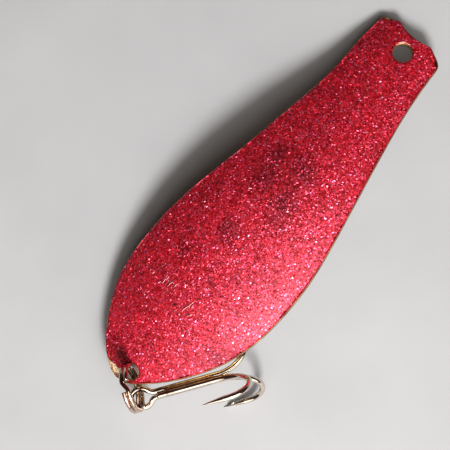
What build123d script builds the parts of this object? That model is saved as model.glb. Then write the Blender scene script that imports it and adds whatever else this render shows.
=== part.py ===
from build123d import *
import os
from math import atan2, cos, degrees, radians, sin, tan

# A casting spoon with its split ring and a treble hook folded back beside it, in millimetres.
# The origin is the centre of the line hole, at the middle of the sheet.
# +X runs level from the line hole towards the tail, +Z is up, and the hook lies on the +Y side.

# ---- blade ---------------------------------------------------------------------------
HOLE_SPACING = 74.91         # line hole to tail hole
BRASS = 0.95                 # sheet thickness
DOME_RADIUS = 34.0           # across the blade, at the middle of the sheet
DOME_HALF_ANGLE = 30.0       # of the strip that the outline is cut from
NECK_ANGLE = 13.5            # the neck climbs from the head
TAIL_ANGLE = 16.5            # the tail drops towards its hole
NECK_REACH = 21.0            # where the arch starts, measured from the line hole
STRIP_SPARE = 8.0            # strip left beyond each hole before the outline is cut
LINE_HOLE_R = 1.8
TAIL_HOLE_R = 1.45
CORNER_R = 0.5               # rounding of the head's corners, seen from above

# ---- how the lure lies -----------------------------------------------------------------
ROLL = 11.0                  # the hook props up the +Y edge
TAIL_LIFT = 1.1              # height of the tail hole above the line hole

# ---- lacquer -----------------------------------------------------------------------------
COAT = 0.12
COAT_INSET = 0.12            # brass left bare along the edge
COAT_EDGE_POINTS = 24        # the coat's edge is drawn through this many steps along the rim
COAT_LINE_HOLE_R = 2.05
COAT_TAIL_HOLE_R = 1.65
TAIL_WEAR = (77.1, -3.0)     # the ring has rubbed the lacquer off here
TAIL_WEAR_LENGTH = 4.6
TAIL_WEAR_WIDTH = 2.2
LEFT_CORNER_WEAR = (-3.6, -7.4)
RIGHT_CORNER_WEAR = (-2.7, 6.1)
CORNER_WEAR_R = 0.75

# ---- split ring --------------------------------------------------------------------------
RING_R = 4.1                 # to the middle of the wire
RING_WIRE_R = 0.41
RING_PITCH = 0.85            # from one coil to the other
RING_STEP = 28.0             # degrees of turn taken by the step between the coils
RING_END = 118.0             # where the step meets the outer coil, in the ring's plane
RING_HEADING = 54.5          # the ring hangs over the edge, turned this far from the axis
RING_LEAN = -7.0             # from square to the sheet, towards the upright
RING_OUT = 2.75              # from the tail hole to the ring's centre, along the sheet
RING_UP = 2.74               # and square to the sheet

# ---- treble hook ---------------------------------------------------------------------------
WIRE_R = 0.525
SHANK_OFFSET = 0.55          # half the distance between two neighbouring shanks
EYE_R = 1.9                  # to the middle of the wire
EYE_NECK_R = 1.6             # outside curve between the eye and the shank
SHANK = 14.88                # from the eye's centre to the start of the bend
ENTRY_R = 6.39               # the bend starts wide and tightens
ENTRY_ANGLE = 60.0
BEND_R = 3.77
BEND_ANGLE = 177.5           # turned in all
LEG = 0.9                    # straight wire between the bend and the point's taper
POINT = 4.0
TIP_R = 0.06
BARB_START = 1.9             # the barb's free end, measured back from the tip
BARB_LENGTH = 1.3
BARB_HEIGHT = 0.42
BARB_HALF_WIDTH = 0.13
SINGLE_START = 3.1           # the single hook's shank ends this far from the eye's centre
SOLDER_START = 4.4
SOLDER_END = 14.2
SOLDER_R = 0.88

SHANK_HEADING = 146.9        # from +X, seen from above
SHANK_PITCH = 11.0           # the bends are higher than the eye
SINGLE_ROLL = 72.0           # each hook opens this way about the shank, from level
LOW_ROLL = -51.0
FAR_ROLL = 207.0
EYE_X = 77.42
EYE_Y = 4.49
EYE_Z = 0.75

os.makedirs("parts", exist_ok=True)

# ---- planes the pieces are drawn on ----------------------------------------------------------
lie_pitch = degrees(atan2(TAIL_LIFT, HOLE_SPACING))
lie_x = Vector(1, 0, 0).rotate(Axis.Y, -lie_pitch)
lie_up = Vector(0, 0, 1).rotate(Axis.Y, -lie_pitch).rotate(Axis((0, 0, 0), lie_x), ROLL)
plan = Plane(origin=(0, 0, 0), x_dir=lie_x, z_dir=lie_up)
across = Axis((0, 0, 0), plan.y_dir)

head_x = plan.x_dir.rotate(across, -NECK_ANGLE)
head_up = plan.z_dir.rotate(across, -NECK_ANGLE)
tail_x = plan.x_dir.rotate(across, TAIL_ANGLE)
tail_up = plan.z_dir.rotate(across, TAIL_ANGLE)
tail_hole = plan.x_dir * HOLE_SPACING

# The arch joins the straight neck to the straight tail, which both pass through their holes.
neck_slope = tan(radians(NECK_ANGLE))
tail_slope = tan(radians(TAIL_ANGLE))
arch_span = sin(radians(NECK_ANGLE)) + sin(radians(TAIL_ANGLE))
arch_drop = cos(radians(NECK_ANGLE)) - cos(radians(TAIL_ANGLE))
arch_room = HOLE_SPACING - NECK_REACH - NECK_REACH * neck_slope / tail_slope
arch_r = arch_room / (arch_span - arch_drop / tail_slope)
neck_run = NECK_REACH / cos(radians(NECK_ANGLE))
tail_run = (HOLE_SPACING - NECK_REACH - arch_r * arch_span) / cos(radians(TAIL_ANGLE))
arch_start = head_x * neck_run
arch_end = tail_hole - tail_x * tail_run
arch_axis = Axis(arch_start - head_up * arch_r, plan.y_dir)
neck_section = Plane(origin=arch_start, x_dir=plan.y_dir, z_dir=head_x)
tail_section = Plane(origin=arch_end, x_dir=plan.y_dir, z_dir=tail_x)
line_hole_plane = Plane(origin=(0, 0, 0), x_dir=head_x, z_dir=head_up)
tail_hole_plane = Plane(origin=tail_hole, x_dir=tail_x, z_dir=tail_up)

# The ring's own plane stands nearly square on the sheet at the tail hole.
ring_out = tail_x * cos(radians(RING_HEADING)) + plan.y_dir * sin(radians(RING_HEADING))
ring_up = tail_up.rotate(Axis((0, 0, 0), ring_out), RING_LEAN)
ring_side = ring_out.cross(ring_up)
ring_centre = tail_hole + ring_out * RING_OUT + ring_up * RING_UP
ring_plane = Plane(origin=ring_centre, x_dir=ring_out, z_dir=ring_side)

# The shank's axis, with the eye at its origin.
heading = radians(SHANK_HEADING)
pitch = radians(SHANK_PITCH)
shank_x = Vector(cos(pitch) * cos(heading), cos(pitch) * sin(heading), sin(pitch))
level = Vector(sin(heading), -cos(heading), 0)
shank_up = level.cross(shank_x)
eye_centre = Vector(EYE_X, EYE_Y, EYE_Z)


def outward(roll):
    """The direction square to the shank that a hook opens in, rolled up from level."""
    return level * cos(radians(roll)) + shank_up * sin(radians(roll))


def strip_face(section, inner_r, outer_r):
    """The blade's curved cross section between two radii about the dome's centre."""
    with BuildSketch(section) as face:
        with BuildLine():
            first = 90 - DOME_HALF_ANGLE
            sweep_angle = 2 * DOME_HALF_ANGLE
            low = CenterArc((0, -DOME_RADIUS), inner_r, first, sweep_angle)
            high = CenterArc((0, -DOME_RADIUS), outer_r, first, sweep_angle)
            Line(low @ 0, high @ 0)
            Line(low @ 1, high @ 1)
        make_face()
    return face.sketch


# ---- outline of the blade, seen along its own thickness -----------------------------------------
rim = Spline(
    (-2.3, 6.5), (5.0, 7.3), (20.0, 10.3), (32.0, 13.0), (42.0, 14.7), (51.0, 14.85),
    (60.0, 13.25), (70.0, 7.95), (75.3, 3.1), (77.65, -0.8), (75.9, -5.2), (70.0, -9.95),
    (63.0, -12.9), (55.0, -13.55), (44.0, -12.5), (30.0, -9.75), (20.0, -8.4),
    (9.0, -7.45), (2.0, -7.75), (-3.4, -7.5),
)


def outline_face(edge, inset):
    """The blade's outline from its long edge and its scalloped head, moved in by an inset."""
    scallop_left = Vector(-4.6 + inset, -4.3 + inset / 2)
    scallop_middle = Vector(-3.75 + inset, 0.4)
    scallop_right = Vector(-4.35 + inset, 3.0 - inset / 2)
    right_corner = Vector(-2.9 + inset, 5.9 - inset / 2)
    with BuildSketch(plan) as face:
        with BuildLine():
            add(edge)
            Line(edge @ 1, scallop_left)
            ThreePointArc(scallop_left, scallop_middle, scallop_right)
            Line(scallop_right, right_corner)
            Line(right_corner, edge @ 0)
        make_face()
        corners = face.vertices().filter_by(lambda corner: plan.to_local_coords(corner.center()).X < -3)
        fillet(corners, CORNER_R)
    return face.sketch


outline = outline_face(rim, 0)

# ---- spoon_blade: one stamped and domed piece of sheet brass ------------------------------------------
brass_inner = DOME_RADIUS - BRASS / 2
brass_outer = DOME_RADIUS + BRASS / 2
with BuildPart() as spoon_blade:
    extrude(strip_face(neck_section, brass_inner, brass_outer), neck_run + STRIP_SPARE, dir=head_x * -1)
    revolve(strip_face(neck_section, brass_inner, brass_outer), arch_axis, NECK_ANGLE + TAIL_ANGLE)
    extrude(strip_face(tail_section, brass_inner, brass_outer), tail_run + STRIP_SPARE, dir=tail_x)
    extrude(outline, 20, dir=plan.z_dir, both=True, mode=Mode.INTERSECT)
    with BuildSketch(line_hole_plane):
        Circle(LINE_HOLE_R)
    extrude(amount=3, both=True, mode=Mode.SUBTRACT)
    with BuildSketch(tail_hole_plane):
        Circle(TAIL_HOLE_R)
    extrude(amount=3, both=True, mode=Mode.SUBTRACT)

spoon_blade.part.label = "spoon_blade"
export_step(spoon_blade.part, "parts/spoon_blade.step")

# ---- glitter_coat: thick lacquer on the domed side, stopping short of the edge and the holes -----------
coat_outer = brass_outer + COAT
coat_edge = []
for step_number in range(COAT_EDGE_POINTS + 1):
    along = step_number / COAT_EDGE_POINTS
    inward = (rim % along).rotate(Axis.Z, -90)
    coat_edge.append((rim @ along) + inward * COAT_INSET)
coat_outline = outline_face(Spline(*coat_edge), COAT_INSET)

with BuildPart() as glitter_coat:
    extrude(strip_face(neck_section, brass_outer, coat_outer), neck_run + STRIP_SPARE, dir=head_x * -1)
    revolve(strip_face(neck_section, brass_outer, coat_outer), arch_axis, NECK_ANGLE + TAIL_ANGLE)
    extrude(strip_face(tail_section, brass_outer, coat_outer), tail_run + STRIP_SPARE, dir=tail_x)
    extrude(coat_outline, 20, dir=plan.z_dir, both=True, mode=Mode.INTERSECT)
    with BuildSketch(line_hole_plane):
        Circle(COAT_LINE_HOLE_R)
    extrude(amount=3, both=True, mode=Mode.SUBTRACT)
    with BuildSketch(tail_hole_plane):
        Circle(COAT_TAIL_HOLE_R)
    extrude(amount=3, both=True, mode=Mode.SUBTRACT)
    with BuildSketch(plan):
        with Locations(Location(TAIL_WEAR, 66)):
            Ellipse(TAIL_WEAR_LENGTH / 2, TAIL_WEAR_WIDTH / 2)
        with Locations(LEFT_CORNER_WEAR, RIGHT_CORNER_WEAR):
            Circle(CORNER_WEAR_R)
    extrude(amount=20, both=True, mode=Mode.SUBTRACT)

glitter_coat.part.label = "glitter_coat"
export_step(glitter_coat.part, "parts/glitter_coat.step")

# ---- split_ring: two turns of round wire with a short step from one coil to the other ---------------------
coil_near = ring_plane.offset(-RING_PITCH / 2)
coil_far = ring_plane.offset(RING_PITCH / 2)
ring_axis = Axis(ring_centre, ring_side)
step_start = radians(RING_END - RING_STEP)
step_end = radians(RING_END)
with BuildLine() as step:
    Spline(
        coil_near.from_local_coords((RING_R * cos(step_start), RING_R * sin(step_start))),
        coil_far.from_local_coords((RING_R * cos(step_end), RING_R * sin(step_end))),
        tangents=(
            ring_out * -sin(step_start) + ring_up * cos(step_start),
            ring_out * -sin(step_end) + ring_up * cos(step_end),
        ),
    )

with BuildPart() as split_ring:
    with BuildSketch(Plane(origin=step.line @ 0, x_dir=ring_side, z_dir=step.line % 0)):
        Circle(RING_WIRE_R)
    revolve(axis=ring_axis, revolution_arc=-(360 - RING_STEP))
    with BuildSketch(Plane(origin=step.line @ 1, x_dir=ring_side, z_dir=step.line % 1)):
        Circle(RING_WIRE_R)
    revolve(axis=ring_axis, revolution_arc=360 - RING_STEP)
    with BuildSketch(Plane(origin=step.line @ 0, x_dir=ring_side, z_dir=step.line % 0)):
        Circle(RING_WIRE_R)
    sweep(path=step.line)

split_ring.part.label = "split_ring"
export_step(split_ring.part, "parts/split_ring.step")

# ---- treble hook: planes through each of the three shanks --------------------------------------------------
eye_out = outward(SINGLE_ROLL - 90)
eye_up = outward(SINGLE_ROLL)
low_out = outward(LOW_ROLL)
far_out = outward(FAR_ROLL)
single_lift = SHANK_OFFSET * 2 * cos(radians(30))
eye_plane = Plane(origin=eye_centre, x_dir=shank_x, z_dir=shank_x.cross(eye_out))
single_plane = Plane(origin=eye_centre + eye_up * single_lift, x_dir=shank_x, z_dir=shank_x.cross(eye_up))
low_plane = Plane(origin=eye_centre + eye_out * SHANK_OFFSET, x_dir=shank_x, z_dir=shank_x.cross(low_out))
far_plane = Plane(origin=eye_centre - eye_out * SHANK_OFFSET, x_dir=shank_x, z_dir=shank_x.cross(far_out))

neck_centre_y = SHANK_OFFSET + EYE_NECK_R
neck_centre_x = ((EYE_R + EYE_NECK_R) ** 2 - neck_centre_y ** 2) ** 0.5
join_x = neck_centre_x * EYE_R / (EYE_R + EYE_NECK_R)
join_y = neck_centre_y * EYE_R / (EYE_R + EYE_NECK_R)


def hook_line(plane, start):
    """The middle of one hook's wire: shank, tightening bend and the straight start of its point."""
    with BuildLine(plane) as wire:
        shank = Line((start, 0), (SHANK, 0))
        entry = JernArc(shank @ 1, plane.x_dir, ENTRY_R, ENTRY_ANGLE)
        bend = JernArc(entry @ 1, entry % 1, BEND_R, BEND_ANGLE - ENTRY_ANGLE)
        Line(bend @ 1, (bend @ 1) + (bend % 1) * LEG)
    return wire.line


def barb_face(plane, tip, back):
    """A barb on the side of the point that faces the shank."""
    inward = back.cross(plane.z_dir) * -1
    with BuildLine() as barb:
        Polyline(
            tip + back * (BARB_START - BARB_LENGTH) + inward * 0.05,
            tip + back * (BARB_START + 0.25) + inward * (0.3 + BARB_HEIGHT / 2),
            tip + back * BARB_START + inward * 0.1,
            close=True,
        )
    return Face(Wire(barb.edges()))


single_line = hook_line(single_plane, SINGLE_START)
low_line = hook_line(low_plane, neck_centre_x)
far_line = hook_line(far_plane, neck_centre_x)

# ---- single_hook: the third hook, soldered on to the pair ----------------------------------------------------
with BuildPart() as single_hook:
    with BuildSketch(Plane(origin=single_line @ 0, z_dir=single_line % 0)):
        Circle(WIRE_R)
    sweep(path=single_line)
    point_plane = Plane(origin=single_line @ 1, z_dir=single_line % 1)
    with BuildSketch(point_plane):
        Circle(WIRE_R)
    with BuildSketch(point_plane.offset(POINT)):
        Circle(TIP_R)
    loft()
    tip = point_plane.from_local_coords((0, 0, POINT))
    extrude(barb_face(single_plane, tip, point_plane.z_dir * -1), BARB_HALF_WIDTH, dir=single_plane.z_dir, both=True)

single_hook.part.label = "single_hook"
export_step(single_hook.part, "parts/single_hook.step")

# ---- double_hook: one wire bent into two hooks with the eye between them -------------------------------------
with BuildLine(eye_plane) as eye_line:
    near_neck = TangentArc((neck_centre_x, SHANK_OFFSET), (join_x, join_y), tangent=(-1, 0))
    loop = ThreePointArc((join_x, join_y), (-EYE_R, 0), (join_x, -join_y))
    far_neck = TangentArc((neck_centre_x, -SHANK_OFFSET), (join_x, -join_y), tangent=(-1, 0))

with BuildPart() as double_hook:
    with BuildSketch(Plane(origin=low_line @ 0, z_dir=shank_x)):
        Circle(WIRE_R)
    sweep(path=eye_line.line)
    for plane, line in ((low_plane, low_line), (far_plane, far_line)):
        with BuildSketch(Plane(origin=line @ 0, z_dir=line % 0)):
            Circle(WIRE_R)
        sweep(path=line)
        point_plane = Plane(origin=line @ 1, z_dir=line % 1)
        with BuildSketch(point_plane):
            Circle(WIRE_R)
        with BuildSketch(point_plane.offset(POINT)):
            Circle(TIP_R)
        loft()
        tip = point_plane.from_local_coords((0, 0, POINT))
        extrude(barb_face(plane, tip, point_plane.z_dir * -1), BARB_HALF_WIDTH, dir=plane.z_dir, both=True)

double_hook.part.label = "double_hook"
export_step(double_hook.part, "parts/double_hook.step")

# ---- braze: solder drawn into the valleys between the three shanks ----------------------------------------------
bundle_centre = eye_centre + eye_up * single_lift / 3
with BuildPart() as braze:
    with BuildSketch(Plane(origin=bundle_centre + shank_x * SOLDER_START, z_dir=shank_x)):
        Circle(SOLDER_R)
    extrude(amount=SOLDER_END - SOLDER_START)
    add(double_hook.part, mode=Mode.SUBTRACT)
    add(single_hook.part, mode=Mode.SUBTRACT)

braze.part.label = "braze"
export_step(braze.part, "parts/braze.step")
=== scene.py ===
"""A red glitter casting spoon with its split ring and folded treble hook, dressed around the CAD frame."""

from math import cos, pi, radians, sin

import bpy
import numpy as np
from mathutils import Matrix, Vector, noise
from mathutils.geometry import delaunay_2d_cdt


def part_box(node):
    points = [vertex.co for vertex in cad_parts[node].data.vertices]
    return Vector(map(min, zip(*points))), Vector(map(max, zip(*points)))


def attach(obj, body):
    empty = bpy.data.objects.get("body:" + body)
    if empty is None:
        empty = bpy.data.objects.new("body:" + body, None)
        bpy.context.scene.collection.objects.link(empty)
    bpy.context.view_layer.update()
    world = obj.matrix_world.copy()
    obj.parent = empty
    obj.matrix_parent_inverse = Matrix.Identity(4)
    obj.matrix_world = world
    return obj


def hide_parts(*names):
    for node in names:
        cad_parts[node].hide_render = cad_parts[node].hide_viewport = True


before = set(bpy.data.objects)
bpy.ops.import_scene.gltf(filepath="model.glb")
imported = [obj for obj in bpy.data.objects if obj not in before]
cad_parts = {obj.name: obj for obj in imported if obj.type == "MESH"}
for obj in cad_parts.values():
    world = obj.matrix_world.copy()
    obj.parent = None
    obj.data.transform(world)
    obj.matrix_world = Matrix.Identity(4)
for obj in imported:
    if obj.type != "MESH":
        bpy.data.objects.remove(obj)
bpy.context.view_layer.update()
MM = 0.001
rng = np.random.default_rng(7)

# ---- driving dimensions, in millimetres, the same as the part's ----------------------------------
HOLE_SPACING = 74.91
TAIL_LIFT = 1.1
ROLL = 11.0
BRASS = 0.95
COAT = 0.12
DOME_RADIUS = 34.0
NECK_ANGLE = 13.5
TAIL_ANGLE = 16.5
NECK_REACH = 21.0
LINE_HOLE_R = 1.8
TAIL_HOLE_R = 1.45
COAT_INSET = 0.12
HALF_SHEET = BRASS / 2
COAT_TOP = HALF_SHEET + COAT
RIM = (
    (-2.3, 6.5), (5.0, 7.3), (20.0, 10.3), (32.0, 13.0), (42.0, 14.7), (51.0, 14.85),
    (60.0, 13.25), (70.0, 7.95), (75.3, 3.1), (77.65, -0.8), (75.9, -5.2), (70.0, -9.95),
    (63.0, -12.9), (55.0, -13.55), (44.0, -12.5), (30.0, -9.75), (20.0, -8.4),
    (9.0, -7.45), (2.0, -7.75), (-3.4, -7.5),
)
HEAD = ((-4.6, -4.3), (-3.75, 0.4), (-4.35, 3.0), (-2.9, 5.9))   # chamfer, scallop, chamfer

RING_R = 4.1
RING_WIRE_R = 0.41
RING_PITCH = 0.85
RING_STEP = 28.0
RING_END = 118.0
RING_HEADING = 54.5
RING_LEAN = -7.0
RING_OUT = 2.75
RING_UP = 2.74

WIRE_R = 0.525
SHANK_OFFSET = 0.55
EYE_R = 1.9
EYE_NECK_R = 1.6
SHANK = 14.88
ENTRY_R = 6.39               # the bend starts wide and tightens
ENTRY_ANGLE = 60.0
BEND_R = 3.77
BEND_ANGLE = 177.5
POINT_LEG = 4.9              # straight wire and point beyond the bend
POINT = 4.0
SINGLE_START = 3.1
SOLDER_START = 4.4
SOLDER_END = 14.2
SHANK_HEADING = 146.9
SHANK_PITCH = 11.0
SINGLE_ROLL = 72.0
LOW_ROLL = -51.0
FAR_ROLL = 207.0
EYE = (77.42, 4.49, 0.75)

FLOOR_GAP = 0.00002          # the table lies this far below the lowest point, in metres
FLOOR_Z = min(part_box(node)[0].z for node in ("spoon_blade", "double_hook"))


def unit(v):
    v = np.asarray(v, float)
    return v / np.linalg.norm(v)


def turned(v, axis, angle):
    """v turned about a unit axis by an angle in degrees."""
    a = radians(angle)
    return v * cos(a) + np.cross(axis, v) * sin(a) + axis * (axis @ v) * (1 - cos(a))


# ---- the blade's own directions and surface ------------------------------------------------------
plan_x = unit((HOLE_SPACING, 0, TAIL_LIFT))
plan_y = turned(np.array([0.0, 1, 0]), plan_x, ROLL)
plan_z = np.cross(plan_x, plan_y)
tail_x = turned(plan_x, plan_y, TAIL_ANGLE)
tail_up = turned(plan_z, plan_y, TAIL_ANGLE)
neck_a = radians(NECK_ANGLE)
tail_a = radians(TAIL_ANGLE)
arch_span = sin(neck_a) + sin(tail_a)
arch_drop = cos(neck_a) - cos(tail_a)
arch_room = HOLE_SPACING - NECK_REACH - NECK_REACH * np.tan(neck_a) / np.tan(tail_a)
ARCH_R = arch_room / (arch_span - arch_drop / np.tan(tail_a))
ARCH_X = NECK_REACH + ARCH_R * sin(neck_a)
ARCH_Z = NECK_REACH * np.tan(neck_a) - ARCH_R * cos(neck_a)


def height(x, y, lift):
    """Height over the plan of the blade's surface that lies lift outside the middle of the sheet."""
    radius = DOME_RADIUS + lift
    h = np.sqrt(radius ** 2 - y ** 2) - DOME_RADIUS
    neck_s = (x + h * sin(neck_a)) / cos(neck_a)
    neck = neck_s * sin(neck_a) + h * cos(neck_a)
    tail_s = (HOLE_SPACING - x + h * sin(tail_a)) / cos(tail_a)
    tail = tail_s * sin(tail_a) + h * cos(tail_a)
    arch_r = ARCH_R + h
    across = np.clip((x - ARCH_X) / arch_r, -0.9, 0.9)
    arch = ARCH_Z + arch_r * np.sqrt(1 - across ** 2)
    out = np.where(across < -sin(neck_a), neck, arch)
    return np.where(across > sin(tail_a), tail, out)


def blade_point(x, y, lift):
    """Row-frame position, in metres, of plan points lifted off the middle of the sheet."""
    x = np.asarray(x, float)
    y = np.asarray(y, float)
    z = height(x, y, lift)
    return (x[..., None] * plan_x + y[..., None] * plan_y + z[..., None] * plan_z) * MM


def blade_normal(x, y):
    """Unit normals of the middle of the sheet at plan points, on its domed side."""
    e = 0.05
    du = blade_point(x + e, y, 0.0) - blade_point(x - e, y, 0.0)
    dv = blade_point(x, y + e, 0.0) - blade_point(x, y - e, 0.0)
    n = np.cross(du, dv)
    return n / np.linalg.norm(n, axis=-1, keepdims=True)


# ---- the outline ---------------------------------------------------------------------------------
def cubic_through(points, count):
    """Evenly spaced points on the natural cubic spline through some points."""
    p = np.array(points, float)
    h = np.linalg.norm(np.diff(p, axis=0), axis=1)
    t = np.concatenate([[0], np.cumsum(h)])
    n = len(p)
    a = np.zeros((n, n))
    b = np.zeros((n, 2))
    a[0, 0] = a[-1, -1] = 1
    for i in range(1, n - 1):
        a[i, i - 1:i + 2] = h[i - 1], 2 * (h[i - 1] + h[i]), h[i]
        b[i] = 6 * ((p[i + 1] - p[i]) / h[i] - (p[i] - p[i - 1]) / h[i - 1])
    m = np.linalg.solve(a, b)
    u = np.linspace(0, t[-1], count)
    k = np.clip(np.searchsorted(t, u) - 1, 0, n - 2)
    lo = (t[k + 1] - u)[:, None]
    hi = (u - t[k])[:, None]
    hk = h[k][:, None]
    return (m[k] * lo ** 3 + m[k + 1] * hi ** 3) / (6 * hk) + (p[k] / hk - m[k] * hk / 6) * lo \
        + (p[k + 1] / hk - m[k + 1] * hk / 6) * hi


def arc_through(a, b, c, count):
    """Points on the circle through three points, from a to c."""
    a, b, c = (np.array(p, float) for p in (a, b, c))
    m = np.array([b - a, c - a]) * 2
    o = np.linalg.solve(m, [b @ b - a @ a, c @ c - a @ a])
    t0, t1 = (np.arctan2(*(p - o)[::-1]) for p in (a, c))
    t1 = t0 + (t1 - t0 + pi) % (2 * pi) - pi
    t = np.linspace(t0, t1, count)[:, None]
    return o + np.linalg.norm(a - o) * np.hstack([np.cos(t), np.sin(t)])


def resample(loop, step):
    """A closed loop redrawn with an even step, its corners rounded a little."""
    p = np.vstack([loop, loop[:1]])
    s = np.concatenate([[0], np.cumsum(np.linalg.norm(np.diff(p, axis=0), axis=1))])
    n = int(round(s[-1] / step))
    u = np.linspace(0, s[-1], n, endpoint=False)
    q = np.stack([np.interp(u, s, p[:, i]) for i in (0, 1)], axis=1)
    for _ in range(3):
        q = (np.roll(q, 1, 0) + 2 * q + np.roll(q, -1, 0)) / 4
    return q


def inward(loop):
    """Unit normals of a clockwise plan loop, towards its inside."""
    d = np.roll(loop, -1, 0) - np.roll(loop, 1, 0)
    d /= np.linalg.norm(d, axis=1, keepdims=True)
    return np.stack([d[:, 1], -d[:, 0]], axis=1)


def circle_on_blade(x, tilt, radius, count):
    """Plan loop of a round hole drilled square to the sheet, whose tilt is the sheet's slope there."""
    a = np.linspace(0, 2 * pi, count, endpoint=False)
    return np.stack([x + radius * np.cos(a) * cos(radians(tilt)), radius * np.sin(a)], axis=1)


chamfer_left, scallop_mid, scallop_right, chamfer_right = HEAD
outline = resample(np.vstack([
    cubic_through(RIM, 420),
    arc_through(chamfer_left, scallop_mid, scallop_right, 24),
    [chamfer_right],
]), 0.3)


def inside(points, loop):
    """Which plan points lie inside a closed loop."""
    x, y = points[:, 0], points[:, 1]
    hit = np.zeros(len(points), bool)
    for (x0, y0), (x1, y1) in zip(loop, np.roll(loop, -1, 0)):
        cross = (y0 > y) != (y1 > y)
        with np.errstate(divide="ignore", invalid="ignore"):
            hit ^= cross & (x < (x1 - x0) * (y - y0) / (y1 - y0) + x0)
    return hit


def distance_to(points, loop):
    """Distance from plan points to the nearest vertex of a loop."""
    best = np.full(len(points), 1e9)
    for k in range(0, len(loop), 64):
        d = np.linalg.norm(points[:, None] - loop[None, k:k + 64], axis=2).min(1)
        best = np.minimum(best, d)
    return best


def filled(loops, step, margin):
    """Plan vertices and triangles that fill the first loop and leave the others open."""
    lo = loops[0].min(0)
    hi = loops[0].max(0)
    rows = np.arange(lo[1], hi[1], step * 0.866)
    grid = []
    for i, y in enumerate(rows):
        xs = np.arange(lo[0] + (i % 2) * step / 2, hi[0], step)
        grid.append(np.stack([xs, np.full_like(xs, y)], axis=1))
    grid = np.vstack(grid)
    grid += rng.uniform(-0.12, 0.12, grid.shape) * step
    keep = inside(grid, loops[0]) & (distance_to(grid, loops[0]) > margin)
    for hole in loops[1:]:
        keep &= ~inside(grid, hole) & (distance_to(grid, hole) > margin)
    grid = grid[keep]
    points = np.vstack([*loops, grid])
    edges = []
    start = 0
    for loop in loops:
        n = len(loop)
        edges += [(start + i, start + (i + 1) % n) for i in range(n)]
        start += n
    out = delaunay_2d_cdt([Vector(p) for p in points], edges, [], 1, 1e-6)
    verts = np.array([tuple(v) for v in out[0]])
    faces = np.array([f for f in out[2] if len(f) == 3])
    centre = verts[faces].mean(1)
    keep = inside(centre, loops[0])
    for hole in loops[1:]:
        keep &= ~inside(centre, hole)
    return verts, faces[keep]


# ---- meshes --------------------------------------------------------------------------------------
def new_mesh(name, verts, faces, material, body, smooth=True):
    """Makes a piece from positions in metres, gives it its material and lets it ride on its body."""
    mesh = bpy.data.meshes.new(name)
    mesh.from_pydata([tuple(v) for v in verts], [], [tuple(int(i) for i in f) for f in faces])
    mesh.validate()
    mesh.polygons.foreach_set("use_smooth", [smooth] * len(mesh.polygons))
    mesh.materials.append(material)
    mesh.update()
    obj = bpy.data.objects.new(name, mesh)
    bpy.context.scene.collection.objects.link(obj)
    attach(obj, body)
    return obj


def ring_strip(first, second, n, flip):
    """Quads between two closed rings of n vertices."""
    quads = []
    for i in range(n):
        j = (i + 1) % n
        quad = (first + i, first + j, second + j, second + i)
        quads.append(quad[::-1] if flip else quad)
    return quads


class Rim:
    """One edge of a sheet: its plan loop, and the plan direction into the metal at each vertex."""

    def __init__(self, loop, into, tilt=0.0):
        self.loop = loop
        self.into = into
        self.tilt = tilt
        self.flip = False        # whether the faces round this edge are wound the other way

    def at(self, offset, lift):
        """The loop moved into the metal by an offset, on the surface at a lift."""
        shift = np.array([-lift * sin(radians(self.tilt)), 0])
        return self.loop + self.into * offset + shift


def hole_rim(x, tilt, radius, count):
    """The edge of a round hole at a place along the plan's middle line."""
    loop = circle_on_blade(x, tilt, radius, count)
    out = loop - [x, 0]
    return Rim(loop, out / np.linalg.norm(out, axis=1, keepdims=True), tilt)


def sheet(rims, top, bottom, edge_r, step, bump=None):
    """Vertices and faces of a sheet with rounded edges between two lifts off the middle of the brass."""
    verts, faces = [], []
    corner = [radians(a) for a in (0, 25, 50, 72, 90)]
    profile = [(edge_r * (1 - sin(a)), top - edge_r * (1 - cos(a))) for a in corner]
    profile += [(edge_r * (1 - sin(a)), bottom + edge_r * (1 - cos(a))) for a in corner[::-1]]
    starts = []
    for lift, flip in ((top, False), (bottom, True)):
        loops = [rim.at(edge_r, lift) for rim in rims]
        plan, tris = filled(loops, step, step * 0.55)
        points = blade_point(plan[:, 0], plan[:, 1], lift)
        if bump is not None and not flip:
            points = points + blade_normal(plan[:, 0], plan[:, 1]) * bump(plan)[:, None] * MM
        base = sum(len(v) for v in verts)
        verts.append(points)
        e1 = plan[tris[:, 1]] - plan[tris[:, 0]]
        e2 = plan[tris[:, 2]] - plan[tris[:, 0]]
        ccw = e1[:, 0] * e2[:, 1] - e1[:, 1] * e2[:, 0] > 0
        want = ~ccw if flip else ccw
        tris = np.where(want[:, None], tris, tris[:, ::-1])
        faces += [tuple(t) for t in tris + base]
        starts.append(base)
    offset = 0
    for rim in rims:
        n = len(rim.loop)
        rings = [starts[0] + offset]
        for inset, lift in profile[1:-1]:
            ring = rim.at(inset, lift)
            rings.append(sum(len(v) for v in verts))
            verts.append(blade_point(ring[:, 0], ring[:, 1], lift))
        rings.append(starts[1] + offset)
        for a, b in zip(rings, rings[1:]):
            faces += ring_strip(a, b, n, rim.flip)
        offset += n
    return np.vstack(verts), faces


def signed_area(loop):
    """Area of a plan loop, positive when it runs anticlockwise."""
    x, y = loop[:, 0], loop[:, 1]
    return 0.5 * np.sum(x * np.roll(y, -1) - y * np.roll(x, -1))


def soft_noise(plan, scale, seed):
    """Smooth noise, about -1 to 1, at plan points."""
    return np.array([noise.noise(Vector((p[0] / scale, p[1] / scale, seed * 7.3))) for p in plan])


edge = Rim(outline, inward(outline))
line_rim = hole_rim(0.0, NECK_ANGLE, LINE_HOLE_R, 72)
tail_rim = hole_rim(HOLE_SPACING, -TAIL_ANGLE, TAIL_HOLE_R, 60)
for rim in (edge, line_rim, tail_rim):
    rim.flip = (signed_area(rim.loop) < 0) == (rim is edge)


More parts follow.
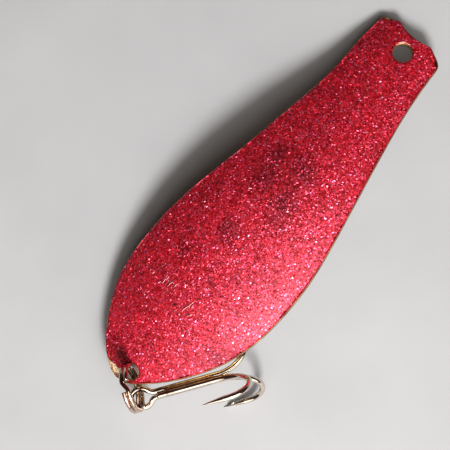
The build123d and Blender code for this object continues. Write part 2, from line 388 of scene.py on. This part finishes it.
# ---- wire pieces ---------------------------------------------------------------------------------
def tube(path, radii, sides):
    """Vertices and faces of a round wire along a path in millimetres, closed at both ends."""
    path = np.asarray(path, float)
    n = len(path)
    tangent = np.gradient(path, axis=0)
    tangent /= np.linalg.norm(tangent, axis=1, keepdims=True)
    side = np.cross(tangent[0], [0.3, 0.1, 0.95])
    side /= np.linalg.norm(side)
    turn = np.linspace(0, 2 * pi, sides, endpoint=False)
    verts = []
    for p, t, r in zip(path, tangent, radii):
        side = side - t * (side @ t)
        side /= np.linalg.norm(side)
        up = np.cross(t, side)
        verts.append(p + r * (np.cos(turn)[:, None] * side + np.sin(turn)[:, None] * up))
    verts = np.vstack(verts)
    faces = []
    for i in range(n - 1):
        faces += ring_strip(i * sides, (i + 1) * sides, sides, False)
    for ring, back in ((0, True), (n - 1, False)):
        centre = len(verts)
        verts = np.vstack([verts, path[ring][None]])
        for k in range(sides):
            tri = (ring * sides + k, ring * sides + (k + 1) % sides, centre)
            faces.append(tri[::-1] if back else tri)
    return verts, faces


def joined(parts):
    """One vertex array and face list from several."""
    verts, faces, base = [], [], 0
    for v, f in parts:
        verts.append(v)
        faces += [tuple(i + base for i in face) for face in f]
        base += len(v)
    return np.vstack(verts), faces


ring_out = tail_x * cos(radians(RING_HEADING)) + plan_y * sin(radians(RING_HEADING))
ring_up = turned(tail_up, ring_out, RING_LEAN)
ring_side = np.cross(ring_out, ring_up)
ring_centre = plan_x * HOLE_SPACING + ring_out * RING_OUT + ring_up * RING_UP


def ring_path(count):
    """The middle of the split ring's wire: one coil, the step across and the other coil."""
    turn = np.linspace(RING_END - 360, RING_END + 360 - RING_STEP, count)
    across = np.clip((turn - (RING_END - RING_STEP)) / RING_STEP, 0, 1)
    across = across * across * (3 - 2 * across) - 0.5
    a = np.radians(turn)[:, None]
    return ring_centre + RING_R * (np.cos(a) * ring_out + np.sin(a) * ring_up) \
        + across[:, None] * RING_PITCH * ring_side


heading = radians(SHANK_HEADING)
pitch = radians(SHANK_PITCH)
shank_x = np.array([cos(pitch) * cos(heading), cos(pitch) * sin(heading), sin(pitch)])
level = np.array([sin(heading), -cos(heading), 0])
shank_up = np.cross(level, shank_x)
eye_centre = np.array(EYE)


def outward(roll):
    """Direction square to the shank, rolled from level by an angle in degrees."""
    return level * cos(radians(roll)) + shank_up * sin(radians(roll))


eye_out = outward(SINGLE_ROLL - 90)
eye_up = outward(SINGLE_ROLL)
single_lift = 2 * SHANK_OFFSET * cos(radians(30))
single_seat = eye_centre + eye_up * single_lift
low_seat = eye_centre + eye_out * SHANK_OFFSET
far_seat = eye_centre - eye_out * SHANK_OFFSET
low_out = outward(LOW_ROLL)
far_out = outward(FAR_ROLL)


def hook_path(seat, out, start):
    """The middle of one hook's wire from its shank to its point."""
    shank = np.stack([np.linspace(start, SHANK, 40), np.zeros(40)], axis=1)
    a = np.radians(np.linspace(0, ENTRY_ANGLE, 30))[1:]
    entry = np.stack([SHANK + ENTRY_R * np.sin(a), ENTRY_R - ENTRY_R * np.cos(a)], axis=1)
    b = np.radians(np.linspace(ENTRY_ANGLE, BEND_ANGLE, 50))[1:]
    centre = entry[-1] + BEND_R * np.array([-sin(a[-1]), cos(a[-1])])
    bend = centre + BEND_R * np.stack([np.sin(b), -np.cos(b)], axis=1)
    end = radians(BEND_ANGLE)
    s = np.linspace(0, POINT_LEG, 44)[1:, None]
    leg = bend[-1] + s * np.array([cos(end), sin(end)])
    line = np.vstack([shank, entry, bend, leg])
    return seat + line[:, :1] * shank_x + line[:, 1:] * out


def point_radii(path):
    """Wire radius along a hook, ground to a point at its end."""
    left = np.concatenate([[0], np.cumsum(np.linalg.norm(np.diff(path[::-1], axis=0), axis=1))])[::-1]
    taper = np.clip(left / POINT, 0, 1)
    return WIRE_R * np.maximum(taper ** 0.85, 0.09)


def eye_path():
    """The planar loop that joins the two shanks of the pair."""
    neck_y = SHANK_OFFSET + EYE_NECK_R
    neck_x = np.sqrt((EYE_R + EYE_NECK_R) ** 2 - neck_y ** 2)
    open_a = np.arctan2(neck_y, neck_x)
    a = np.linspace(open_a, 2 * pi - open_a, 90)
    loop = np.stack([EYE_R * np.cos(a), EYE_R * np.sin(a)], axis=1)
    b = np.linspace(1.5 * pi, pi + open_a, 18)[:-1]
    near = np.stack([neck_x + EYE_NECK_R * np.cos(b), neck_y + EYE_NECK_R * np.sin(b)], axis=1)
    far = near[::-1] * [1, -1]
    line = np.vstack([near, loop, far])
    return eye_centre + line[:, :1] * shank_x + line[:, 1:] * eye_out, neck_x


BARB = (                     # distance back from the point, height and half width of a barb's sections
    (0.65, 0.12, 0.03), (1.0, 0.23, 0.09), (1.4, 0.36, 0.13), (1.8, 0.5, 0.12), (2.15, 0.62, 0.04),
)
BARB_FREE = 1.9              # beyond this the barb stands clear of the wire


def barb(seat, out):
    """A thin barb cut up from the side of the point that faces the shank."""
    path = hook_path(seat, out, SHANK)
    tip = path[-1]
    back = unit(path[-8] - path[-1])
    lift = unit(np.cross(np.cross(back, -out), back))
    wide = np.cross(back, lift)
    sections = []
    for along, rise, reach in BARB:
        base = tip + back * along
        low = 0.05 if along < BARB_FREE else rise - 0.16
        foot = wide * reach * 1.4
        shoulder = wide * reach * 0.35
        sections.append([
            base + lift * low - foot,
            base + lift * rise - shoulder,
            base + lift * (rise + 0.03),
            base + lift * rise + shoulder,
            base + lift * low + foot,
        ])
    verts = np.array(sections).reshape(-1, 3)
    faces = []
    for i in range(len(sections) - 1):
        for k in range(5):
            j = (k + 1) % 5
            faces.append((i * 5 + k, i * 5 + j, i * 5 + 5 + j, i * 5 + 5 + k))
    last = (len(sections) - 1) * 5
    faces.append((4, 3, 2, 1, 0))
    faces.append(tuple(last + k for k in range(5)))
    return verts, faces


# ---- materials -----------------------------------------------------------------------------------
SCRATCHES = (                # plan place, half length and half width, and heading, of the scratches
    ((58.5, -4.35), (0.75, 0.15), 167), ((58.1, -3.3), (0.5, 0.12), 169),
    ((60.66, -1.23), (0.45, 0.22), 150), ((57.07, 1.63), (0.5, 0.24), 120),
    ((58.8, 1.35), (0.45, 0.2), 165), ((60.5, 1.8), (0.5, 0.25), 140),
    ((59.4, 0.75), (1.5, 0.1), 165),
)
BURR_HIGHLIGHTS = (                    # plan place, half length and heading, of the lips beside the scratches, made bright as painted highlights
    ((58.39, -5.14), 1.0, 168), ((58.28, -4.0), 0.6, 169), ((57.85, -3.0), 0.55, 169),
    ((59.54, 1.0), 1.6, 165), ((58.8, -7.77), 0.36, 171), ((60.3, 2.3), 0.5, 150),
)
THIN_AND_SHADED_SPOTS = (               # plan place, half lengths and heading, of patches with little glitter, their lacquer also darkened as painted shade
    ((28.2, 1.4), (4.4, 3.8), 20), ((34.5, 2.6), (5.4, 3.6), 10), ((33.0, -2.8), (5.4, 3.6), 5),
    ((28.5, -4.2), (3.6, 2.4), 0), ((44.5, -2.2), (3.2, 2.4), 30), ((52.0, -6.0), (2.8, 1.8), 30),
)
RUBBED_AND_RING_SHADOW = ((74.2, -3.3), (1.7, 1.2), 50)      # pitted black beside the ring: worn lacquer, darkened further as the ring's painted shadow
BARED_AND_HIGHLIT = ((76.7, -2.8), (2.8, 1.5), 66)       # brass worn clear under the ring, its pale cream a painted highlight


class Nodes:
    """A material's node tree, with short calls to add and join nodes."""

    def __init__(self, name):
        self.mat = bpy.data.materials.new(name)
        self.mat.use_nodes = True
        self.tree = self.mat.node_tree
        self.bsdf = self.tree.nodes["Principled BSDF"]

    def add(self, kind, **settings):
        node = self.tree.nodes.new("ShaderNode" + kind)
        for key, value in settings.items():
            setattr(node, key, value)
        return node

    def link(self, out, into):
        self.tree.links.new(out, into)

    def set(self, **values):
        for key, value in values.items():
            self.bsdf.inputs[key.replace("_", " ")].default_value = value

    def place(self, scale=(1, 1, 1)):
        """Position on the piece in millimetres, stretched by a scale."""
        coord = self.add("TexCoord")
        mapping = self.add("Mapping")
        mapping.inputs["Scale"].default_value = [s / MM for s in scale]
        self.link(coord.outputs["Object"], mapping.inputs["Vector"])
        return mapping.outputs["Vector"]

    def noise(self, vector, scale, detail=3.0, rough=0.55):
        node = self.add("TexNoise")
        node.inputs["Scale"].default_value = scale
        node.inputs["Detail"].default_value = detail
        node.inputs["Roughness"].default_value = rough
        self.link(vector, node.inputs["Vector"])
        return node.outputs["Fac"]

    def ramp(self, value, stops):
        """Colours along a value; each stop is a position and a colour."""
        node = self.add("ValToRGB")
        elements = node.color_ramp.elements
        while len(elements) < len(stops):
            elements.new(0.5)
        for element, (position, colour) in zip(elements, stops):
            element.position = position
            element.color = (*colour, 1)
        self.link(value, node.inputs["Fac"])
        return node.outputs["Color"]

    def level(self, value, low, high, to_low=0.0, to_high=1.0):
        """A value taken from one range to another and held at its ends."""
        node = self.add("MapRange")
        for key, number in zip(("From Min", "From Max", "To Min", "To Max"), (low, high, to_low, to_high)):
            node.inputs[key].default_value = number
        self.link(value, node.inputs["Value"])
        return node.outputs["Result"]

    def mix(self, factor, first, second, blend="MIX"):
        node = self.add("Mix", data_type="RGBA", blend_type=blend)
        sockets = (node.inputs["Factor"], node.inputs[6], node.inputs[7])
        for socket, value in zip(sockets, (factor, first, second)):
            if isinstance(value, (int, float)):
                socket.default_value = value
            elif isinstance(value, tuple):
                socket.default_value = (*value, 1)
            else:
                self.link(value, socket)
        return node.outputs[2]

    def mark(self, at, size, angle=0.0, ragged=0.0, core=0.65):
        """1 in the core of a soft ellipse round a plan place, 0 outside; size is its half lengths in mm."""
        coord = self.add("TexCoord")
        mapping = self.add("Mapping", vector_type="TEXTURE")
        centre = blade_point(at[0], at[1], HALF_SHEET)
        mapping.inputs["Location"].default_value = [float(c) for c in centre]
        mapping.inputs["Rotation"].default_value = (0, 0, radians(angle))
        mapping.inputs["Scale"].default_value = (size[0] * MM, size[1] * MM, 10 * MM)
        self.link(coord.outputs["Object"], mapping.inputs["Vector"])
        length = self.add("VectorMath", operation="LENGTH")
        self.link(mapping.outputs["Vector"], length.inputs[0])
        value = length.outputs["Value"]
        if ragged:
            uneven = self.level(self.noise(self.place(), 2.2, 4.0), 0.3, 0.7, -ragged, ragged)
            value = self.maths("ADD", value, uneven)
        return self.level(value, core, 1.05, 1.0, 0.0)

    def maths(self, operation, first, second):
        node = self.add("Math", operation=operation)
        for socket, value in zip(node.inputs, (first, second)):
            if isinstance(value, (int, float)):
                socket.default_value = value
            else:
                self.link(value, socket)
        return node.outputs[0]

    def bump(self, height, strength, distance):
        node = self.add("Bump")
        node.inputs["Strength"].default_value = strength
        node.inputs["Distance"].default_value = distance
        self.link(height, node.inputs["Height"])
        return node.outputs["Normal"]


def brass_material():
    """Stamped brass, dulled, with fine scratches along the blade, and worn clear under the ring with a
    painted highlight there.
    """
    m = Nodes("stamped_brass")
    place = m.place()
    tarnish = m.noise(place, 0.35, 5.0, 0.6)
    tone = m.ramp(tarnish, ((0.3, (0.12, 0.06, 0.025)), (0.5, (0.27, 0.17, 0.07)),
                            (0.72, (0.46, 0.32, 0.14))))
    # red-brown and cream dapple of the worn brass; its pale cream stops are a painted highlight
    dapple_and_highlight = m.ramp(m.noise(place, 2.4, 4.0, 0.7), ((0.40, (0.42, 0.10, 0.04)), (0.48, (0.85, 0.62, 0.34)),
                                                    (0.66, (1.0, 0.88, 0.66))))
    bared_and_highlit = m.mark(*BARED_AND_HIGHLIT, ragged=0.2)
    m.link(m.mix(bared_and_highlit, tone, dapple_and_highlight), m.bsdf.inputs["Base Color"])
    scratch = m.noise(m.place((0.6, 9.0, 9.0)), 1.2, 4.0, 0.7)
    m.link(m.level(bared_and_highlit, 0.0, 1.0, 1.0, 0.35), m.bsdf.inputs["Metallic"])
    m.link(m.level(m.noise(place, 1.4, 4.0), 0.3, 0.7, 0.34, 0.56), m.bsdf.inputs["Roughness"])
    m.link(m.bump(scratch, 0.35, 0.00006), m.bsdf.inputs["Normal"])
    return m.mat


def lacquer_material():
    """Red lacquer over fine glitter, sparse and darkened with painted shade in patches, scratched, and worn
    at the tail and darkened there with the ring's painted shadow.
    """
    m = Nodes("red_glitter_lacquer")
    place = m.place()
    grain = m.add("TexVoronoi")
    grain.inputs["Scale"].default_value = 3.3
    m.link(place, grain.inputs["Vector"])
    parts = m.add("SeparateColor")
    m.link(grain.outputs["Color"], parts.inputs["Color"])
    reds = m.ramp(parts.outputs[0], ((0.0, (0.26, 0.002, 0.004)), (0.1, (0.32, 0.002, 0.004)),
                                     (0.6, (0.42, 0.003, 0.008)), (1.0, (0.62, 0.010, 0.026))))
    # patches of sparser glitter whose colour is also darkened as painted shade
    thin_and_shaded = m.mark(*THIN_AND_SHADED_SPOTS[0], ragged=0.3, core=0.2)
    for spot in THIN_AND_SHADED_SPOTS[1:]:
        thin_and_shaded = m.maths("MAXIMUM", thin_and_shaded, m.mark(*spot, ragged=0.3, core=0.2))
    cloud = m.level(m.noise(place, 0.25, 4.0), 0.35, 0.7, 0.66, 1.0)
    # painted shade: in those patches the lacquer's colour falls to 0.36 of itself
    shade = m.maths("MULTIPLY", cloud, m.level(thin_and_shaded, 0.0, 1.0, 1.0, 0.36))
    colour = m.mix(1.0, reds, shade, "MULTIPLY")
    scratch = m.mark(*SCRATCHES[0])
    for line in SCRATCHES[1:]:
        scratch = m.maths("MAXIMUM", scratch, m.mark(*line))
    colour = m.mix(m.maths("MULTIPLY", scratch, 0.85), colour, (0.05, 0.002, 0.002))
    # near-black pits: partly worn lacquer, partly the ring's painted shadow
    rubbed_and_ring_shadow = m.mark(*RUBBED_AND_RING_SHADOW, ragged=0.5)
    pits = m.level(m.noise(place, 2.6, 4.0, 0.7), 0.42, 0.56)
    colour = m.mix(m.maths("MULTIPLY", rubbed_and_ring_shadow, pits), colour, (0.035, 0.012, 0.008))
    m.link(colour, m.bsdf.inputs["Base Color"])
    centred = m.add("VectorMath", operation="SUBTRACT")
    centred.inputs[1].default_value = (0.5, 0.5, 0.5)
    m.link(grain.outputs["Color"], centred.inputs[0])
    tilt = m.add("VectorMath", operation="SCALE")
    tilt.inputs["Scale"].default_value = 0.45
    m.link(centred.outputs[0], tilt.inputs[0])
    relief = m.maths("SUBTRACT", m.noise(place, 2.7, 3.0), scratch)
    leaning = m.add("VectorMath", operation="ADD")
    m.link(m.bump(relief, 0.7, 0.00014), leaning.inputs[0])
    m.link(tilt.outputs[0], leaning.inputs[1])
    straight = m.add("VectorMath", operation="NORMALIZE")
    m.link(leaning.outputs[0], straight.inputs[0])
    m.link(straight.outputs[0], m.bsdf.inputs["Normal"])
    m.link(m.level(parts.outputs[1], 0.0, 1.0, 0.32, 0.6), m.bsdf.inputs["Roughness"])
    m.set(Metallic=0.2, Coat_Weight=0.30, Coat_Roughness=0.45, Specular_Tint=(1.0, 0.5, 0.85, 1))
    return m.mat


def foil_material(name, colour, rough, metallic=0.62, gloss=0.26):
    """Foil, or raised lacquer coloured as a painted highlight, of one colour, a little uneven."""
    m = Nodes(name)
    place = m.place()
    tone = m.noise(place, 1.5, 3.0)
    darker = tuple(c * 0.7 for c in colour)
    m.link(m.ramp(tone, ((0.3, darker), (0.6, colour))), m.bsdf.inputs["Base Color"])
    m.link(m.level(m.noise(place, 4.0, 2.0), 0.3, 0.7, rough, rough + 0.12), m.bsdf.inputs["Roughness"])
    m.set(Metallic=metallic, Specular_Tint=(1.0, 0.46, 0.95, 1), Coat_Weight=gloss, Coat_Roughness=0.44)
    return m.mat


def bronze_material(name, base, dark, rough):
    """Bronzed steel wire: a thin dark plating, unevenly worn."""
    m = Nodes(name)
    place = m.place()
    wear = m.noise(place, 0.7, 4.0, 0.6)
    m.link(m.ramp(wear, ((0.30, dark), (0.46, base), (0.75, tuple(min(1, c * 1.2) for c in base)))),
           m.bsdf.inputs["Base Color"])
    m.link(m.level(m.noise(place, 1.3, 4.0), 0.3, 0.7, rough, rough + 0.07), m.bsdf.inputs["Roughness"])
    m.link(m.bump(m.noise(place, 1.6, 2.0), 0.06, 0.00003), m.bsdf.inputs["Normal"])
    m.set(Metallic=1.0)
    return m.mat


brass = brass_material()
lacquer = lacquer_material()
ring_bronze = bronze_material("bronzed_ring_wire", (0.56, 0.42, 0.34), (0.30, 0.17, 0.13), 0.08)
hook_bronze = bronze_material("bronzed_hook_wire", (0.66, 0.58, 0.49), (0.36, 0.25, 0.19), 0.09)
solder = bronze_material("drawn_solder", (0.40, 0.30, 0.23), (0.22, 0.13, 0.10), 0.24)
FOILS = (                    # name, share of the flakes, colour, roughness, metallic look and gloss
    ("deep_red_foil", 0.28, (0.26, 0.002, 0.005), 0.44, 0.62, 0.25),
    ("red_foil", 0.36, (0.58, 0.006, 0.020), 0.42, 0.62, 0.85),
    ("bright_red_foil", 0.26, (0.88, 0.040, 0.13), 0.42, 0.70, 0.95),
    ("pink_foil", 0.08, (0.95, 0.17, 0.35), 0.42, 0.80, 0.80),
    ("pale_foil", 0.02, (1.0, 0.42, 0.58), 0.42, 0.90, 0.60),
)

# ---- the blade and its lacquer -------------------------------------------------------------------
BLADE_EDGE_R = 0.16
BLADE_STEP = 0.9             # spacing of the vertices inside the outline
COAT_EDGE_R = 0.09
COAT_STEP = 0.3
verts, faces = sheet([edge, line_rim, tail_rim], HALF_SHEET, -HALF_SHEET, BLADE_EDGE_R, BLADE_STEP)
blade = new_mesh("blade_brass", verts, faces, brass, "blade")
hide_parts("spoon_blade")

WEAR = (                     # plan place, depth and reach of the lacquer's worn spots along the edge
    ((77.4, -2.6), 1.5, 1.9),
    ((-4.2, -6.6), 0.5, 0.9),
    ((-2.9, 6.1), 0.6, 0.8),
)
ragged = soft_noise(outline, 1.1, 1) * 0.05 + soft_noise(outline, 4.0, 2) * 0.05
coat_inset = np.maximum(COAT_INSET - 0.03 + ragged, 0.05)
for place, depth, reach in WEAR:
    near = np.exp(-(np.linalg.norm(outline - place, axis=1) / reach) ** 2)
    coat_inset = coat_inset + depth * near * (1 + 0.35 * soft_noise(outline, 0.5, 3))
coat_edge = Rim(outline + edge.into * coat_inset[:, None], edge.into)
coat_edge.flip = edge.flip
COAT_LINE_GAP = 0.02         # how far the lacquer stands back from each hole
COAT_TAIL_GAP = 0.15
COAT_SINK = 0.02             # overlap with the brass, so that no gap shows
coat_line = hole_rim(0.0, NECK_ANGLE, LINE_HOLE_R + COAT_LINE_GAP, 80)
coat_tail = hole_rim(HOLE_SPACING, -TAIL_ANGLE, TAIL_HOLE_R + COAT_TAIL_GAP, 60)
for rim, seed in ((coat_line, 5), (coat_tail, 6)):
    rim.flip = line_rim.flip
    rim.loop = rim.loop + rim.into * (0.04 * (1 + soft_noise(rim.loop, 0.8, seed)))[:, None]


def coat_relief(plan):
    """The lacquer's own unevenness, in millimetres: fine grains and soft swells."""
    grains = soft_noise(plan, 0.42, 11) * 0.018 + soft_noise(plan, 0.9, 12) * 0.012
    swells = soft_noise(plan, 5.0, 13) * 0.02
    return grains + swells - 0.01


coat_rims = [coat_edge, coat_line, coat_tail]
verts, faces = sheet(coat_rims, COAT_TOP, HALF_SHEET - COAT_SINK, COAT_EDGE_R, COAT_STEP, coat_relief)
coat = new_mesh("glitter_lacquer", verts, faces, lacquer, "blade")
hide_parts("glitter_coat")

# ---- glitter flakes, bedded in the top of the lacquer --------------------------------------------
FLAKES = 20000
FLAKE_R = (0.10, 0.19)
FLAKE_LEAN = 15.0            # spread of the flakes' lean, in degrees
FLAKE_EDGE_GAP = 0.22        # least distance from the lacquer's edge
FLAKE_HOLE_GAP = 0.2
PLAN_SPANS = ((-4.5, 77.6), (-13.6, 14.9))


def flake_mesh(plan, radius, material, name):
    """Six-sided flakes at plan places, each leaning its own way."""
    n = len(plan)
    up = blade_normal(plan[:, 0], plan[:, 1])
    lean = radians(FLAKE_LEAN) * rng.standard_normal((n, 3))
    up = up + lean
    up /= np.linalg.norm(up, axis=1, keepdims=True)
    side = np.cross(up, rng.standard_normal((n, 3)))
    side /= np.linalg.norm(side, axis=1, keepdims=True)
    over = np.cross(up, side)
    depth = coat_relief(plan) + rng.uniform(0.0, 0.02, n)
    centre = blade_point(plan[:, 0], plan[:, 1], COAT_TOP) + up * depth[:, None] * MM
    turn = np.linspace(0, 2 * pi, 6, endpoint=False)
    ring = np.cos(turn)[None, :, None] * side[:, None] + np.sin(turn)[None, :, None] * over[:, None]
    verts = (centre[:, None] + ring * radius[:, None, None] * MM).reshape(-1, 3)
    faces = np.arange(n * 6).reshape(n, 6)
    return new_mesh(name, verts, faces, material, "blade", smooth=False)


def ellipse_mask(plan, spot):
    """Which plan points lie inside a spot, given by its place, half lengths and heading."""
    (x, y), (a, b), angle = spot
    t = radians(angle)
    dx, dy = plan[:, 0] - x, plan[:, 1] - y
    return ((dx * cos(t) + dy * sin(t)) / a) ** 2 + ((dy * cos(t) - dx * sin(t)) / b) ** 2 < 1


seeds = np.stack([rng.uniform(*span, FLAKES * 3) for span in PLAN_SPANS], axis=1)
keep = inside(seeds, coat_edge.loop) & (distance_to(seeds, coat_edge.loop) > FLAKE_EDGE_GAP)
for rim in (coat_line, coat_tail):
    keep &= ~inside(seeds, rim.loop) & (distance_to(seeds, rim.loop) > FLAKE_HOLE_GAP)
seeds = seeds[keep]
chance = 0.86 + 0.25 * soft_noise(seeds, 3.0, 21)
chance[ellipse_mask(seeds, RUBBED_AND_RING_SHADOW)] *= 0.35
for spot in THIN_AND_SHADED_SPOTS:
    chance[ellipse_mask(seeds, spot)] *= 0.72
for line in SCRATCHES:
    chance[ellipse_mask(seeds, (line[0], (line[1][0] + 0.1, line[1][1] + 0.1), line[2]))] = 0
seeds = seeds[rng.uniform(0, 1, len(seeds)) < chance][:FLAKES]
kind = rng.choice(len(FOILS), len(seeds), p=[foil[1] for foil in FOILS])
for index, (foil_name, _, colour, *look) in enumerate(FOILS):
    chosen = seeds[kind == index]
    size = rng.uniform(*FLAKE_R, len(chosen))
    flake_mesh(chosen, size, foil_material(foil_name, colour, *look), foil_name + "_flakes")

# ---- raised lips of lacquer beside the scratches and over the line hole, coloured pale as painted highlights ---
BURR_R = 0.055
HOLE_LIP_R = 0.1
HOLE_LIP_OUT = 0.34          # from the hole's edge to the middle of the lip
HOLE_LIP_SPAN = (176, 240)   # where the lip starts and ends round the hole, in degrees
LIP_SIDES = 8
lips = []
for (x, y), reach, angle in BURR_HIGHLIGHTS:
    t = np.linspace(-1, 1, 14)
    wander = 0.05 * np.sin(t * 5 + x) + 0.03 * np.sin(t * 13 + y)
    lip_x = x + t * reach * cos(radians(angle)) - wander * sin(radians(angle))
    lip_y = y + t * reach * sin(radians(angle)) + wander * cos(radians(angle))
    lip_path = blade_point(lip_x, lip_y, COAT_TOP + 0.02) / MM
    lips.append(tube(lip_path, BURR_R * np.sqrt(1.02 - t * t), LIP_SIDES))
turn = np.radians(np.linspace(*HOLE_LIP_SPAN, 30))
reach = LINE_HOLE_R + HOLE_LIP_OUT + 0.06 * np.sin(turn * 9)
lip_path = blade_point(reach * np.cos(turn), reach * np.sin(turn), COAT_TOP + 0.03) / MM
lip_r = HOLE_LIP_R * np.sqrt(np.sin(np.linspace(0.05, pi - 0.05, 30)))
lips.append(tube(lip_path, lip_r, LIP_SIDES))
verts, faces = joined(lips)
# painted highlight: the lips are pale pink in place of the red of the lacquer they stand for
raised_lacquer_highlight = foil_material("raised_lacquer_highlight", (0.95, 0.40, 0.38), 0.40)
new_mesh("lacquer_lips_highlight", verts * MM, faces, raised_lacquer_highlight, "blade")

# ---- the wires -----------------------------------------------------------------------------------
WIRE_SIDES = 20
path = ring_path(420)
verts, faces = tube(path, np.full(len(path), RING_WIRE_R), WIRE_SIDES)
ring = new_mesh("ring_wire", verts * MM, faces, ring_bronze, "ring")
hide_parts("split_ring")

loop, neck_start = eye_path()
low = hook_path(low_seat, low_out, neck_start)
far = hook_path(far_seat, far_out, neck_start)
wire = np.vstack([low[::-1], loop[1:-1], far])
radii = np.concatenate([point_radii(low)[::-1], np.full(len(loop) - 2, WIRE_R), point_radii(far)])
verts, faces = joined([tube(wire, radii, WIRE_SIDES), barb(low_seat, low_out), barb(far_seat, far_out)])
pair = new_mesh("hook_pair_wire", verts * MM, faces, hook_bronze, "treble")
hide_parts("double_hook")

path = hook_path(single_seat, eye_up, SINGLE_START)
verts, faces = joined([tube(path, point_radii(path), WIRE_SIDES), barb(single_seat, eye_up)])
single = new_mesh("single_hook_wire", verts * MM, faces, hook_bronze, "treble")
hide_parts("single_hook")

SOLDER_TAPERS = (0.8, 1.2)   # lengths over which the solder thins at its two ends
SOLDER_THIN_R = 0.55
SOLDER_SWELL = 0.33
run = np.linspace(SOLDER_START, SOLDER_END, 60)
solder_path = eye_centre + eye_up * single_lift / 3 + run[:, None] * shank_x
from_start = (run - SOLDER_START) / SOLDER_TAPERS[0]
to_end = (SOLDER_END - run) / SOLDER_TAPERS[1]
solder_r = SOLDER_THIN_R + SOLDER_SWELL * np.sqrt(np.minimum(from_start, to_end).clip(0, 1))
verts, faces = tube(solder_path, solder_r, 24)
fillets = new_mesh("solder_fillets", verts * MM, faces, solder, "treble")
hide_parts("braze")

# ---- stage, light and camera ---------------------------------------------------------------------
def stage_material():
    """A pale matte table, a little uneven in tone."""
    m = Nodes("pale_table")
    tone = m.ramp(m.noise(m.place(), 0.05, 3.0), ((0.3, (0.285, 0.29, 0.30)), (0.7, (0.31, 0.315, 0.325))))
    m.link(tone, m.bsdf.inputs["Base Color"])
    m.set(Roughness=0.8)
    return m.mat


def stage_mesh(size, cells):
    """A flat square table under the object."""
    grid = np.linspace(-size, size, cells)
    verts = [(x, y, FLOOR_Z - FLOOR_GAP) for y in grid for x in grid]
    faces = [(j * cells + i, j * cells + i + 1, (j + 1) * cells + i + 1, (j + 1) * cells + i)
             for j in range(cells - 1) for i in range(cells - 1)]
    mesh = bpy.data.meshes.new("table")
    mesh.from_pydata(verts, [], faces)
    mesh.materials.append(stage_material())
    obj = bpy.data.objects.new("table", mesh)
    bpy.context.scene.collection.objects.link(obj)


stage_mesh(2.0, 9)

world = bpy.context.scene.world or bpy.data.worlds.new("studio")
bpy.context.scene.world = world
world.use_nodes = True
background = world.node_tree.nodes["Background"]
background.inputs["Color"].default_value = (1.0, 0.55, 0.48, 1)
background.inputs["Strength"].default_value = 0.045

middle = Vector((37 * MM, 0, 0))


def area_light(name, azimuth, elevation, distance, size, power, colour):
    """A round light facing the object's middle from a direction in degrees and a distance in metres."""
    data = bpy.data.lights.new(name, "AREA")
    data.shape = "DISK"
    data.size = size
    data.energy = power
    data.color = colour
    obj = bpy.data.objects.new(name, data)
    a, e = radians(azimuth), radians(elevation)
    obj.location = middle + Vector((cos(a) * cos(e), sin(a) * cos(e), sin(e))) * distance
    obj.rotation_euler = (middle - obj.location).to_track_quat("-Z", "Y").to_euler()
    bpy.context.scene.collection.objects.link(obj)


area_light("key", 56, 48, 0.6, 0.2, 6.6, (1.0, 0.97, 0.95))
area_light("softbox", 62, 46, 0.5, 0.84, 4.2, (1.0, 0.97, 0.92))

CAMERA_AT = (0.0441, -0.0043, 0.2968)
SCREEN_RIGHT = Vector((-0.649, 0.761, 0))
SCREEN_UP = Vector((-0.761, -0.649, 0))
camera_data = bpy.data.cameras.new("photo_camera")
camera_data.sensor_width = 36
camera_data.lens = 132
camera_data.clip_start = 0.01
camera = bpy.data.objects.new("photo_camera", camera_data)
axes = Matrix((SCREEN_RIGHT, SCREEN_UP, SCREEN_RIGHT.cross(SCREEN_UP))).transposed()
camera.matrix_world = Matrix.Translation(CAMERA_AT) @ axes.to_4x4()
bpy.context.scene.collection.objects.link(camera)
bpy.context.scene.camera = camera
bpy.context.scene.view_settings.view_transform = "Standard"
